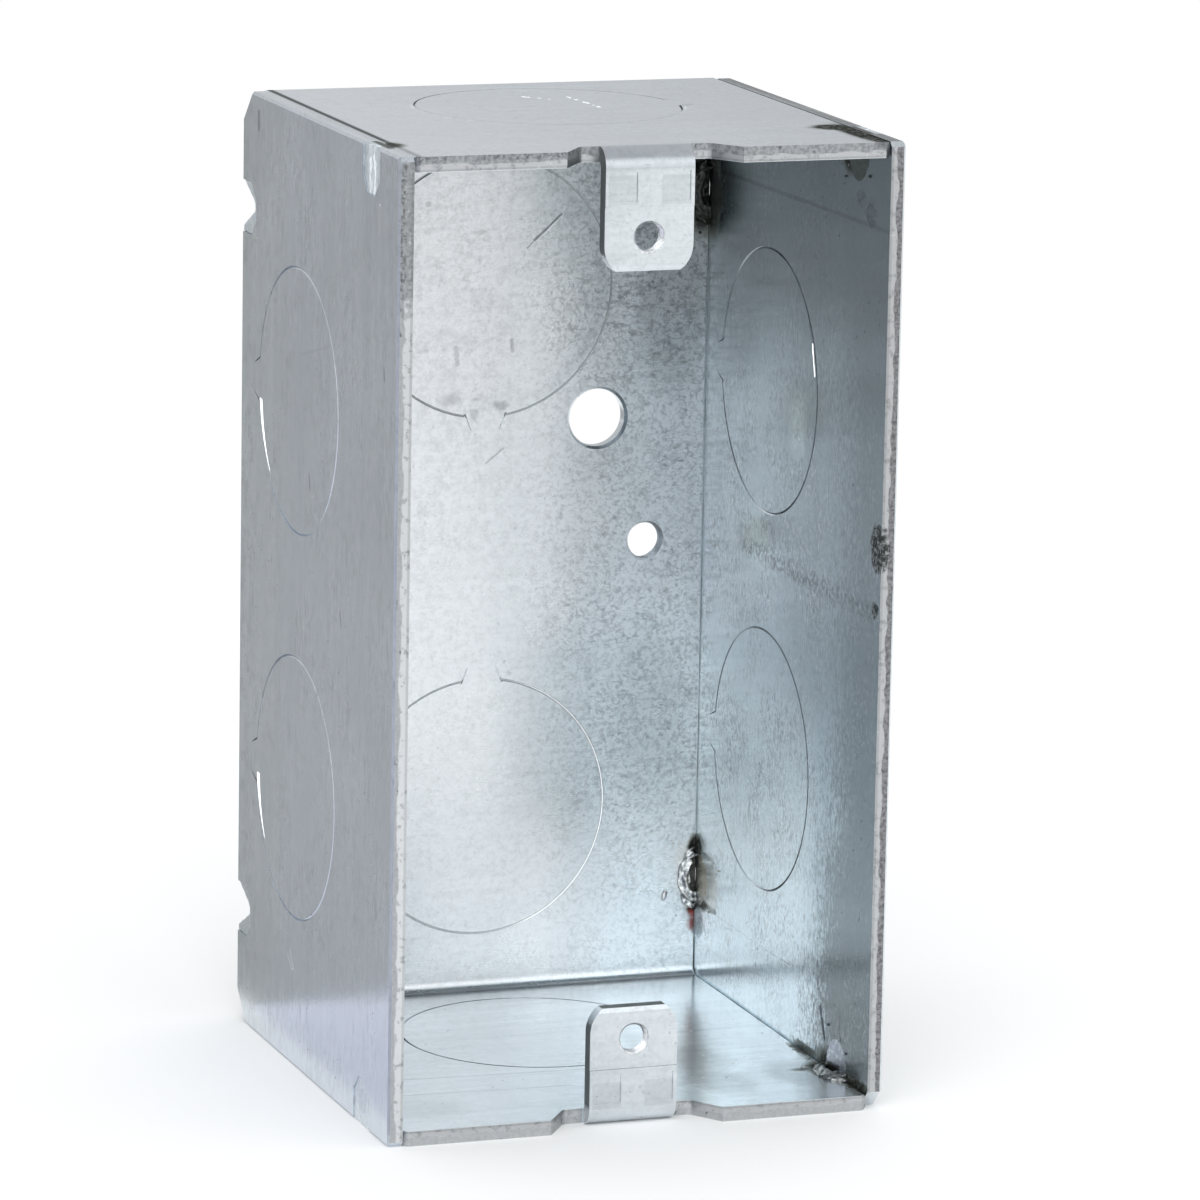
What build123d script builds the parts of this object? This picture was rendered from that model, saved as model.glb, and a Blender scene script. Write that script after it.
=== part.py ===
from build123d import *
from math import asin, degrees, radians, sin
import os

# A welded steel handy box, in millimetres.
# X runs left to right, Y from the open front to the back wall, Z up.
# The origin is under the middle of the box, on its bottom face.

# Outside sizes and stock
box_height = 101.6              # 4 in
box_width = 54.0                # 2 1/8 in, over both side plates
box_depth = 54.0                # 2 1/8 in, open front to back wall
sheet = 1.6                     # one gauge for all three blanks
bend_radius = 1.0               # inside radius of the two folds at the back
edge_break = 0.25               # rolled-over edge that the shear leaves
front_corner = 0.6              # clipped front corners of the wrap

# Device ears, folded inwards from the front edges of the top and bottom walls
ear_width = 9.52
ear_setback = 1.5               # ear face behind the front edge
ear_hole_from_end = 9.13        # leaves the screws 3 9/32 in apart in a 4 in box
ear_hole_radius = 1.7
ear_past_hole = 3.4             # from the screw's middle line to the ear's tip
ear_bend_radius = 0.4           # inside radius of the ear's fold
ear_corner_radius = 3.2         # arc at each corner of the tip
ear_corner_sweep = 54.0         # degrees of that arc, which ends in a corner
tip_bevel_depth = 0.25
tip_bevel_height = 0.8
coined_depth = 0.1              # the flattened face round the screw hole
coined_past_hole = 3.1          # how far it runs from the hole towards the fold
mark_size = 3.0                 # square punch marks beside the fold
mark_depth = 0.15
mark_offset = 2.85              # from the ear's middle line
mark_past_hole = 5.2            # from the hole towards the fold
relief_flat = 2.2               # flat floor of the relief beside the ear
relief_slope = 2.45             # sloping run from that floor to the front edge
relief_corner = 0.8

# Knockouts, half-sheared discs that stay hinged on a tie
knockout_radius = 14.1          # 3/4 in trade size
tie_half_width = 2.35
tie_end_half_width = 1.6        # the two slits beside a tie close in to this
slit_length = 1.7
slit_start_width = 0.24
slit_end_width = 0.06
shear_depth = 0.25
rollover_width = 0.26           # mouth of the shear line
side_knockout_from_back = 20.7
side_knockout_from_middle = 20.65
end_knockout_from_back = 20.7
back_knockout_from_end = 22.1

# Holes in the back wall
fixing_hole_radius = 3.175
fixing_hole_x = 12.9            # from the middle; the second hole lies opposite
fixing_hole_z = 13.86
fixing_hole_break = 0.3         # rolled-over rim on the punched side
ground_hole_radius = 2.2
ground_hole_from_side = 8.36    # at half height, from the box's right side

# Side plates
plate_corner_past_bend = 0.6    # back corners are clipped this far past the fold
plate_front_corner = 0.5
right_plate_clip = 1.9          # larger clip low on the right plate's front

# Welds, each in a notch in the edge of a side plate
notch_width = 5.6
notch_depth = 5.0
notch_corner = 1.7
back_weld_from_end = 12.5
end_weld_from_front = 9.0
bite_depth = 3.3                # dip burnt out of the nugget at the plate's edge
bite_floor = 1.7
cap_radius = 3.2                # low cap that the weld leaves inside the box
cap_height = 0.6
cap_slope = 62.0                # degrees that the cap's side leans in
cap_sides = 12
cap_past_wall = 1.8             # cap centre from the inside of the wrap's wall
nugget_recess = 0.12            # nugget surface below the plate's outside face

# Places that follow from the sizes above
front = -box_depth / 2
back = box_depth / 2
mid_z = box_height / 2
half_width = box_width / 2
wrap_half = half_width - sheet
outer_bend = bend_radius + sheet
plate_back_corner = outer_bend + plate_corner_past_bend
ear_half = ear_width / 2
ear_face = front + ear_setback
ear_outer_bend = ear_bend_radius + sheet
ear_hole_z = box_height - ear_hole_from_end
ear_tip = ear_hole_z - ear_past_hole
relief_depth = ear_setback + ear_outer_bend
overcut = sheet                 # cutting tools reach this far past a face


def at(x, y, z, along, normal):
    """A plane at a point, with its own x along one direction and z along another."""
    return Plane(origin=(x, y, z), x_dir=along, z_dir=normal)


def bar(profile, half_length):
    """A profile drawn on the YZ plane, stretched both ways along X."""
    return extrude(Plane.YZ * profile, amount=half_length, both=True)


def strip_profile(outside, inside, outer_radius, inner_radius):
    """Section of a folded strip between an outside and an inside path."""
    outer = FilletPolyline(*outside, radius=outer_radius)
    inner = FilletPolyline(*inside, radius=inner_radius)
    ends = [Line(outer @ 1, inner @ 0), Line(inner @ 1, outer @ 0)]
    return make_face([outer, inner] + ends)


def tie_slit(side):
    """One of the two slits that run out from a knockout beside its tie."""
    start = (knockout_radius ** 2 - tie_half_width ** 2) ** 0.5
    mouth = start - slit_start_width / 2
    end = start + slit_length
    outline = Polyline(
        (mouth, side * (tie_half_width - slit_start_width / 2)),
        (mouth, side * (tie_half_width + slit_start_width / 2)),
        (end, side * (tie_end_half_width + slit_end_width / 2)),
        (end, side * (tie_end_half_width - slit_end_width / 2)),
        close=True,
    )
    slit = extrude(make_face(outline), amount=shear_depth + overcut)
    return Pos(0, 0, -shear_depth) * slit


def knockout_cut(out):
    """Shear line in one face: z points out of the sheet and x at the tie.

    The rolled-over slope lies outside the disc for out = 1, on it for out = -1.
    """
    rim = knockout_radius + out * rollover_width
    section = Polyline(
        (knockout_radius, overcut),
        (knockout_radius, -shear_depth),
        (rim, 0),
        (rim, overcut),
        close=True,
    )
    tie_angle = degrees(asin(tie_half_width / knockout_radius))
    face = Plane.XZ * make_face(section)
    ring = revolve(face, axis=Axis.Z, revolution_arc=360 - 2 * tie_angle)
    return Rot(0, 0, tie_angle) * ring + tie_slit(1) + tie_slit(-1)


def knockout(x, y, z, tie, normal):
    """Both faces of a knockout whose outside face has its middle at x, y, z."""
    outward = Vector(*normal)
    inner = Vector(x, y, z) - outward * sheet
    outside_cut = at(x, y, z, tie, normal) * knockout_cut(-1)
    inside_cut = at(inner.X, inner.Y, inner.Z, tie, tuple(-outward)) * knockout_cut(1)
    return outside_cut + inside_cut


def ear_corner(side):
    """Corner of the ear's tip that lies outside its arc."""
    arc_x = ear_half - ear_corner_radius
    arc_z = ear_tip + ear_corner_radius * sin(radians(ear_corner_sweep))
    reach = ear_corner_radius + overcut
    corner = Pos(side * (arc_x + reach / 2), arc_z - reach / 2) * Rectangle(reach, reach)
    corner -= Pos(side * arc_x, arc_z) * Circle(ear_corner_radius)
    return Pos(0, ear_face, 0) * extrude(Plane.XZ * corner, amount=2 * sheet, both=True)


def upper_ear():
    """The upper ear, with its tip corners, bevel, coined face, marks and hole."""
    root = front + relief_depth + sheet
    inner_face = ear_face + sheet
    under = box_height - sheet
    strip = strip_profile(
        [(root, box_height), (ear_face, box_height), (ear_face, ear_tip)],
        [(inner_face, ear_tip), (inner_face, under), (root, under)],
        ear_outer_bend,
        ear_bend_radius,
    )
    ear = bar(strip, ear_half) - ear_corner(1) - ear_corner(-1)
    bevel = Polyline(
        (ear_face - tip_bevel_depth, ear_tip + 2 * tip_bevel_height),
        (ear_face + 2 * tip_bevel_depth, ear_tip - tip_bevel_height),
        (ear_face - tip_bevel_depth, ear_tip - tip_bevel_height),
        close=True,
    )
    ear -= bar(make_face(bevel), ear_width)
    coined = ear_past_hole + coined_past_hole + overcut
    coined_z = ear_hole_z + coined_past_hole - coined / 2
    ear -= Pos(0, ear_face, coined_z) * Box(2 * ear_width, 2 * coined_depth, coined)
    for side in (1, -1):
        place = Pos(side * mark_offset, ear_face, ear_hole_z + mark_past_hole)
        ear -= place * Box(mark_size, 2 * mark_depth, mark_size)
    hole = at(0, ear_face, ear_hole_z, (1, 0, 0), (0, 1, 0))
    return ear - hole * Cylinder(ear_hole_radius, 4 * sheet)


def relief_cut():
    """Opening in the front edge of the top wall that frees the ear to fold."""
    floor_half = ear_half + relief_flat
    mouth_half = floor_half + 2 * relief_slope
    outline = FilletPolyline(
        (-mouth_half, front - relief_depth),
        (-floor_half, front + relief_depth),
        (floor_half, front + relief_depth),
        (mouth_half, front - relief_depth),
        radius=relief_corner,
    )
    face = make_face([outline, Line(outline @ 1, outline @ 0)])
    return Pos(0, 0, box_height) * extrude(face, amount=2 * sheet, both=True)


def plain_wrap():
    """The strip folded into three walls, with its rolled edges and clipped corners."""
    under = box_height - sheet
    inner_back = back - sheet
    section = strip_profile(
        [(front, 0), (back, 0), (back, box_height), (front, box_height)],
        [(front, under), (inner_back, under), (inner_back, sheet), (front, sheet)],
        outer_bend,
        bend_radius,
    )
    wrap = bar(section, wrap_half)
    seam_edges = [
        edge
        for edge in wrap.edges()
        if abs(abs(edge.center().X) - wrap_half) < edge_break / 2
        and abs(edge.center().Y - front) > edge_break / 2
    ]
    wrap = chamfer(seam_edges, edge_break)
    clip_side = front_corner * 2 ** 0.5
    clip = Box(clip_side, clip_side, box_height + 2 * overcut)
    for side in (1, -1):
        wrap -= Pos(side * wrap_half, front, mid_z) * Rot(0, 0, 45) * clip
    return wrap


def punched_holes(wrap):
    """The wrap with two fixing holes and the ground hole in its back wall."""
    inside = back - sheet
    for side in (1, -1):
        place = at(
            side * fixing_hole_x, inside, mid_z + side * fixing_hole_z, (1, 0, 0), (0, 1, 0)
        )
        wrap -= place * Cylinder(fixing_hole_radius, 4 * sheet)
    rims = [
        edge
        for edge in wrap.edges().filter_by(GeomType.CIRCLE)
        if abs(edge.radius - fixing_hole_radius) < edge_break / 2
        and abs(edge.center().Y - inside) < edge_break / 2
    ]
    wrap = chamfer(rims, fixing_hole_break)
    place = at(half_width - ground_hole_from_side, inside, mid_z, (1, 0, 0), (0, 1, 0))
    return wrap - place * Cylinder(ground_hole_radius, 4 * sheet)


def folded_wrap():
    """Top, back and bottom walls in one folded strip, with ears and openings."""
    flip = Plane.XY.offset(mid_z)
    relief = relief_cut()
    ear = upper_ear()
    wrap = plain_wrap() - relief - mirror(relief, about=flip)
    wrap = punched_holes(wrap + ear + mirror(ear, about=flip))
    back_z = mid_z - back_knockout_from_end
    for side in (1, -1):
        wrap -= knockout(0, back, mid_z + side * back_z, (0, 0, -side), (0, 1, 0))
    y = back - end_knockout_from_back
    wrap -= knockout(0, y, box_height, (1, 0, 0), (0, 0, 1))
    wrap -= knockout(0, y, 0, (1, 0, 0), (0, 0, -1))
    return wrap


def weld_places():
    """Planes on the right plate's inside face: x along the edge, y into the plate."""
    weld_y = front + end_weld_from_front
    outward = (1, 0, 0)
    return [
        at(wrap_half, back, box_height - back_weld_from_end, (0, 0, 1), outward),
        at(wrap_half, back, back_weld_from_end, (0, 0, 1), outward),
        at(wrap_half, weld_y, box_height, (0, -1, 0), outward),
        at(wrap_half, weld_y, 0, (0, 1, 0), outward),
    ]


def notch_face(past):
    """Outline of a weld notch, from some way past the plate's edge to its floor."""
    length = notch_depth + past
    notch = Pos(0, notch_depth - length / 2) * Rectangle(notch_width, length)
    return chamfer(notch.vertices().group_by(Axis.Y)[-1], notch_corner)


def weld_nugget():
    """Weld metal in one notch: a plug, bitten at the edge, with a low cap inside."""
    plug = extrude(notch_face(0), amount=sheet - nugget_recess)
    ramp = Polyline(
        (0, 0),
        (-overcut, 0),
        (-overcut, 2 * sheet),
        (2 * bite_depth, 2 * sheet),
        close=True,
    )
    flare = Polyline(
        (-notch_width / 2, 0),
        (-bite_floor / 2, bite_depth),
        (bite_floor / 2, bite_depth),
        (notch_width / 2, 0),
        close=True,
    )
    plug -= bar(make_face(ramp), notch_width) & extrude(make_face(flare), amount=sheet)
    base = RegularPolygon(cap_radius, cap_sides)
    cap = extrude(base, amount=cap_height, dir=(0, 0, -1), taper=cap_slope)
    room = 4 * cap_radius
    inside = Pos(0, sheet + room / 2, -room / 2) * Box(room, room, room)
    return plug + (Pos(0, sheet + cap_past_wall, 0) * cap & inside)


def side_plate(low_clip):
    """Blank over the wrap's right edges, notched, with a low front clip of any size."""
    outline = Polyline(
        (front, low_clip),
        (front + low_clip, 0),
        (back - plate_back_corner, 0),
        (back, plate_back_corner),
        (back, box_height - plate_back_corner),
        (back - plate_back_corner, box_height),
        (front + plate_front_corner, box_height),
        (front, box_height - plate_front_corner),
        close=True,
    )
    blank = Pos(wrap_half, 0, 0) * extrude(Plane.YZ * make_face(outline), amount=sheet)
    plate = chamfer(blank.faces().sort_by(Axis.X)[-1].edges(), edge_break)
    for place in weld_places():
        plate -= place * extrude(notch_face(overcut), amount=2 * sheet, both=True)
    y = back - side_knockout_from_back
    for side in (1, -1):
        z = mid_z + side * side_knockout_from_middle
        plate -= knockout(half_width, y, z, (0, 1, 0), (1, 0, 0))
    return plate


def right_welds():
    """The four nuggets of the right plate."""
    nugget = weld_nugget()
    return Compound(children=[place * nugget for place in weld_places()])


os.makedirs("parts", exist_ok=True)
weld_row = right_welds()
nodes = {
    "folded_wrap": folded_wrap(),
    "right_side_plate": side_plate(right_plate_clip),
    "left_side_plate": mirror(side_plate(plate_front_corner), about=Plane.YZ),
    "right_welds": weld_row,
    "left_welds": mirror(weld_row, about=Plane.YZ),
}
for name, shape in nodes.items():
    export_step(shape, f"parts/{name}.step")
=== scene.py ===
# %% [markdown]
# A galvanised steel handy box, the small wall box that holds one switch or socket.
# Three sheets make it: a strip folded into top, back and bottom, and a flat plate
# welded on each side. The imported model already has the true sheets, folds, ears,
# holes and knockouts, so those stay, and this lesson gives them their finish.
# What the imported model leaves plain is modelled here: weld metal, screw threads and
# spatter. The bright lips of the knockouts are painted in the finish as highlights.

# %% Load the imported model
import bpy
import math
from mathutils import Matrix, Vector


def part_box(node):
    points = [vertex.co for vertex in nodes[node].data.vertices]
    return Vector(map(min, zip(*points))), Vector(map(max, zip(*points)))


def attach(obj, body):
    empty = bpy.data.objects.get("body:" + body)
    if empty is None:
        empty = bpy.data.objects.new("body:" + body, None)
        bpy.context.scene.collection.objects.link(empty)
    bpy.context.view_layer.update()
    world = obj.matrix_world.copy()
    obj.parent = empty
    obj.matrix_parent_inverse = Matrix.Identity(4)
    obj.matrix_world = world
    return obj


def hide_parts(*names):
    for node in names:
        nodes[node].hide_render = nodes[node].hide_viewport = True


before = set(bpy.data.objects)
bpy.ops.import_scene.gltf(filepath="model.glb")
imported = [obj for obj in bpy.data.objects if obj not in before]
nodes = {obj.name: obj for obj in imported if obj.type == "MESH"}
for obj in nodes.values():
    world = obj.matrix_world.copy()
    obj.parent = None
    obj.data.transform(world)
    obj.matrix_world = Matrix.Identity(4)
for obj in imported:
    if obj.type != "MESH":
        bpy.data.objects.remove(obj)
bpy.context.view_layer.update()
MM = 0.001
print("nodes", sorted(nodes))

# %% [markdown]
# The driving places come from the frame, so that a mark or a bead follows its sheet.
# The box's own corners give the front, the back and the two sides. The sheet's gauge
# is the difference between a side plate's outer and inner face.

# %% Read the main places from the frame
plate_low, plate_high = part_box("right_side_plate")
FRONT = plate_low.y
BACK = plate_high.y
TOP = plate_high.z
SIDE = plate_high.x
GAUGE = plate_high.x - plate_low.x
INNER_SIDE = SIDE - GAUGE
INNER_BACK = BACK - GAUGE
print("half width", SIDE, "gauge", round(GAUGE, 5), "height", TOP)

# %% [markdown]
# New pieces are shaped by hand in edit mode. Small metal is easier to judge when one unit
# is one millimetre, so each piece is modelled at that scale round the origin and is put
# in its place by one matrix at the end. A few helpers keep the operators honest: nothing
# is selected before a new piece starts, edges are picked by their place, and a modifier
# is applied as soon as it is set.

# %% Helpers that shape a piece
def clear_selection():
    """Leaves edit mode and deselects everything."""
    if bpy.context.mode != "OBJECT":
        bpy.ops.object.mode_set(mode="OBJECT")
    bpy.ops.object.select_all(action="DESELECT")


def pick_edges(piece, test):
    """Goes into edit mode with only the edges selected whose middle passes a test."""
    bpy.ops.object.mode_set(mode="EDIT")
    bpy.ops.mesh.select_mode(type="EDGE")
    bpy.ops.mesh.select_all(action="DESELECT")
    bpy.ops.object.mode_set(mode="OBJECT")
    points = piece.data.vertices
    for edge in piece.data.edges:
        start, end = (points[i].co for i in edge.vertices)
        edge.select = test((start + end) / 2, end - start)
    bpy.ops.object.mode_set(mode="EDIT")


def pick_all():
    """Goes into edit mode with everything selected."""
    bpy.ops.object.mode_set(mode="EDIT")
    bpy.ops.mesh.select_all(action="SELECT")


def use_modifier(piece, kind, **settings):
    """Adds a modifier, sets it and applies it."""
    modifier = piece.modifiers.new(kind.lower(), kind)
    for name, value in settings.items():
        setattr(modifier, name, value)
    bpy.context.view_layer.objects.active = piece
    bpy.ops.object.modifier_apply(modifier=modifier.name)


def join_pieces(name, pieces):
    """Makes one piece of several."""
    clear_selection()
    for piece in pieces:
        piece.select_set(True)
    bpy.context.view_layer.objects.active = pieces[0]
    if len(pieces) > 1:
        bpy.ops.object.join()
    pieces[0].name = name
    pieces[0].data.name = name
    return pieces[0]


def shade_round(piece):
    """Shades a piece smooth."""
    clear_selection()
    piece.select_set(True)
    bpy.context.view_layer.objects.active = piece
    bpy.ops.object.shade_smooth()


def twin(piece):
    """A copy with a mesh of its own."""
    copy = piece.copy()
    copy.data = piece.data.copy()
    bpy.context.scene.collection.objects.link(copy)
    return copy


# %% [markdown]
# Each side plate hangs on four welds. The welder notches the plate's edge and melts the
# wrap's edge through the notch. The metal fills the notch, leaves a low smooth dome on the
# plate inside and runs along the corner as a rippled crescent. A bead could be sculpted
# point by point. Here a block with two clipped corners and a flattened sphere make the
# plug, and a hollowed sphere makes the crescent.

# %% Model the plug and the dome of one weld
NOTCH_WIDTH, NOTCH_DEPTH, NOTCH_CLIP = 5.6, 5.0, 1.7
PLUG_FACE = 1.46
WALL = GAUGE / MM
SUNK = 0.05

clear_selection()
bpy.ops.mesh.primitive_cube_add(size=1)
plug = bpy.context.object
pick_all()
bpy.ops.transform.resize(value=(NOTCH_WIDTH, NOTCH_DEPTH, PLUG_FACE), center_override=(0, 0, 0))
bpy.ops.transform.translate(value=(0, NOTCH_DEPTH / 2, PLUG_FACE / 2))
pick_edges(plug, lambda middle, way: abs(way.z) > 1 and middle.y > NOTCH_DEPTH / 2)
bpy.ops.mesh.bevel(offset=NOTCH_CLIP, segments=1)
bpy.ops.object.mode_set(mode="OBJECT")


def flat_drop(middle, radii, cut_y):
    """A sphere flattened to three radii and cut off where it would enter the wall."""
    clear_selection()
    bpy.ops.mesh.primitive_uv_sphere_add(segments=48, ring_count=24, radius=1)
    drop = bpy.context.object
    pick_all()
    bpy.ops.transform.resize(value=radii, center_override=(0, 0, 0))
    bpy.ops.transform.translate(value=middle)
    bpy.ops.mesh.bisect(plane_co=(0, cut_y, 0), plane_no=(0, -1, 0), use_fill=True, clear_outer=True)
    bpy.ops.object.mode_set(mode="OBJECT")
    return drop


dome = flat_drop(middle=(0, WALL + 1.6, 0.18), radii=(2.7, 2.4, 0.36), cut_y=WALL - SUNK)
print("plug", len(plug.data.polygons), "faces, dome", len(dome.data.polygons), "faces")

# %% [markdown]
# Weld metal freezes in ripples behind the arc and stays lumpy. The crescent gets both from
# procedural textures that push its skin in and out: rings for the ripples, clouds for the
# lumps. The rings spread from the middle of the weld, where the arc burnt.

# %% Hollow and ripple the crescent
VOXEL = 0.11
RIPPLE_HEIGHT, LUMP_HEIGHT = 0.24, 0.30
RING_SIZE = 2.2

crescent = flat_drop(middle=(-0.2, WALL, -0.3), radii=(3.6, 0.62, 1.85), cut_y=WALL - SUNK)
hollow = flat_drop(middle=(0.3, WALL, 0.5), radii=(2.5, 1.2, 1.45), cut_y=WALL - 0.5)
use_modifier(crescent, "BOOLEAN", object=hollow, operation="DIFFERENCE", solver="EXACT")
bpy.data.objects.remove(hollow)
use_modifier(crescent, "REMESH", mode="VOXEL", voxel_size=VOXEL)

ripples = bpy.data.textures.new("weld_ripples", "WOOD")
ripples.wood_type = "RINGNOISE"
ripples.turbulence = 3.0
lumps = bpy.data.textures.new("weld_lumps", "CLOUDS")
lumps.noise_scale = 0.7
lumps.noise_depth = 3
arc_middle = bpy.data.objects.new("arc_middle", None)
arc_middle.location = (0, WALL, 0.6)
arc_middle.scale = [RING_SIZE] * 3
bpy.context.scene.collection.objects.link(arc_middle)
bpy.context.view_layer.update()
use_modifier(
    crescent, "DISPLACE", texture=ripples, texture_coords="OBJECT", texture_coords_object=arc_middle,
    strength=RIPPLE_HEIGHT, mid_level=0.5,
)
use_modifier(
    crescent, "DISPLACE", texture=lumps, texture_coords="LOCAL", strength=LUMP_HEIGHT, mid_level=0.5
)
bpy.data.objects.remove(arc_middle)
print("crescent", len(crescent.data.polygons), "faces")

# %% [markdown]
# A voxel remesh melts plug, dome and crescent into one skin. At the back edge the arc has
# burnt a bite out of the metal. It could be pushed in by hand, but a boolean with a leaning
# cone leaves the same scooped hollow in one step. The outside face is kept below the
# plate's face, so nothing stands out of the box.

# %% Join the parts and burn the bite
HIGHEST_FACE, LOWEST_EDGE = PLUG_FACE + 0.06, 0.03
BITE_PLACE = (0.35, 1.5, 1.75)

flush_bead = join_pieces("flush_bead", [plug, dome, crescent])
use_modifier(flush_bead, "REMESH", mode="VOXEL", voxel_size=VOXEL)
bite_bead = twin(flush_bead)
clear_selection()
bpy.ops.mesh.primitive_cone_add(vertices=40, radius1=3.1, radius2=0.5, depth=5.4)
cone = bpy.context.object
lean = Matrix.Rotation(math.radians(-90), 4, "X")
cone.data.transform(Matrix.Translation(BITE_PLACE) @ lean)
use_modifier(bite_bead, "BOOLEAN", object=cone, operation="DIFFERENCE", solver="EXACT")
bpy.data.objects.remove(cone)
use_modifier(bite_bead, "REMESH", mode="VOXEL", voxel_size=VOXEL)
for bead in (flush_bead, bite_bead):
    use_modifier(bead, "SMOOTH", factor=0.5, iterations=3)
    use_modifier(bead, "DISPLACE", texture=lumps, texture_coords="LOCAL", strength=0.10, mid_level=0.5)
    for point in bead.data.vertices:
        point.co.z = min(point.co.z, HIGHEST_FACE)
        point.co.y = max(point.co.y, LOWEST_EDGE)
    print(bead.name, len(bead.data.polygons), "faces")

# %% [markdown]
# A plate has two welds on its back edge, which are bitten, and one on each end. A bead
# lies along X with its face up, so one matrix for each notch turns it and sets it in. The
# left row is the right one in a mirror, with its faces turned outwards again.

# %% Set four beads on each side
BACK_WELD, END_WELD = 12.5 * MM, FRONT + 9 * MM


def weld_place(origin, along, inward):
    """Matrix from a bead's own millimetres to its notch in the right plate."""
    outward = Vector((1, 0, 0))
    turn = Matrix((along, inward, outward)).transposed().to_4x4()
    return Matrix.Translation(origin) @ turn @ Matrix.Scale(MM, 4)


up, back_way = Vector((0, 0, 1)), Vector((0, 1, 0))
weld_spots = [
    (bite_bead, weld_place((INNER_SIDE, BACK, TOP - BACK_WELD), up, -back_way)),
    (bite_bead, weld_place((INNER_SIDE, BACK, BACK_WELD), up, -back_way)),
    (flush_bead, weld_place((INNER_SIDE, END_WELD, TOP), -back_way, -up)),
    (flush_bead, weld_place((INNER_SIDE, END_WELD, 0), back_way, up)),
]


def weld_row(name, node, flip):
    """Four beads in their notches, flipped to the left side where asked."""
    beads = []
    for bead, place in weld_spots:
        copy = twin(bead)
        copy.data.transform(flip @ place)
        if flip.determinant() < 0:
            copy.data.flip_normals()
        beads.append(copy)
    row = join_pieces(name, beads)
    shade_round(row)
    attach(row, "root")
    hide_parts(node)
    return row


right_weld_metal = weld_row("right_weld_metal", "right_welds", Matrix.Identity(4))
left_weld_metal = weld_row("left_weld_metal", "left_welds", Matrix.Scale(-1, 4, (1, 0, 0)))
for bead in (flush_bead, bite_bead):
    bpy.data.objects.remove(bead)
print("weld rows", len(right_weld_metal.data.polygons), len(left_weld_metal.data.polygons))

# %% [markdown]
# The ear holes and the ground hole are tapped. A thread is a ridge that climbs inside its
# hole. A spin would only make rings, so a small triangle is swept by the Screw modifier,
# and two cuts trim the ridge to the sheet's faces.

# %% Cut threads
THREAD_CORNERS = [(0.08, -0.33), (0.08, 0.33), (-0.27, 0.0)]
RUN_IN = 1.2
TRIM = 0.04
SHARP = math.radians(35)


def tapped_thread(name, hole_radius, pitch, low_y, high_y, middle_x, middle_z):
    """A screw thread along Y inside a hole of the folded wrap."""
    clear_selection()
    bpy.ops.mesh.primitive_circle_add(vertices=3, fill_type="NOTHING")
    thread = bpy.context.object
    for point, (outwards, along) in zip(thread.data.vertices, THREAD_CORNERS):
        point.co = (hole_radius + outwards, 0, along)
    depth = (high_y - low_y) / MM
    turns = math.ceil(depth / pitch) + 2
    use_modifier(
        thread, "SCREW", axis="Z", screw_offset=pitch, iterations=turns, steps=56, render_steps=56,
        use_normal_calculate=True,
    )
    thread.data.transform(Matrix.Translation((0, 0, -pitch * RUN_IN)))
    pick_all()
    bpy.ops.mesh.bisect(plane_co=(0, 0, TRIM), plane_no=(0, 0, -1), use_fill=True, clear_outer=True)
    bpy.ops.mesh.select_all(action="SELECT")
    bpy.ops.mesh.bisect(plane_co=(0, 0, depth - TRIM), plane_no=(0, 0, 1), use_fill=True, clear_outer=True)
    bpy.ops.mesh.select_all(action="SELECT")
    bpy.ops.mesh.remove_doubles(threshold=0.001)
    bpy.ops.mesh.normals_make_consistent(inside=False)
    bpy.ops.object.mode_set(mode="OBJECT")
    lay = Matrix.Translation((middle_x, low_y, middle_z)) @ Matrix.Rotation(-math.pi / 2, 4, "X")
    thread.data.transform(lay @ Matrix.Scale(MM, 4))
    bpy.ops.object.shade_smooth_by_angle(angle=SHARP)
    thread.name = name
    thread.data.name = name
    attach(thread, "root")
    print(name, len(thread.data.polygons), "faces")
    return thread


EAR_FACE = FRONT + 1.6 * MM
EAR_THREAD = {"hole_radius": 1.7, "pitch": 0.7, "low_y": EAR_FACE, "high_y": EAR_FACE + 1.5 * MM}
GROUND_THREAD = {"hole_radius": 2.2, "pitch": 0.8, "low_y": INNER_BACK, "high_y": BACK}
EAR_HOLE_FROM_END = 9.13 * MM
GROUND_FROM_SIDE = 8.36 * MM
threads = [
    tapped_thread("upper_ear_thread", **EAR_THREAD, middle_x=0, middle_z=TOP - EAR_HOLE_FROM_END),
    tapped_thread("lower_ear_thread", **EAR_THREAD, middle_x=0, middle_z=EAR_HOLE_FROM_END),
    tapped_thread("ground_thread", **GROUND_THREAD, middle_x=SIDE - GROUND_FROM_SIDE, middle_z=TOP / 2),
]

# %% [markdown]
# Welding throws beads of metal that stick where they land. Each is a small flattened drop,
# modelled once from a sphere with a dented skin and copied. The list gives each bead's
# place, its three radii and its turn about Y in degrees.

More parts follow.
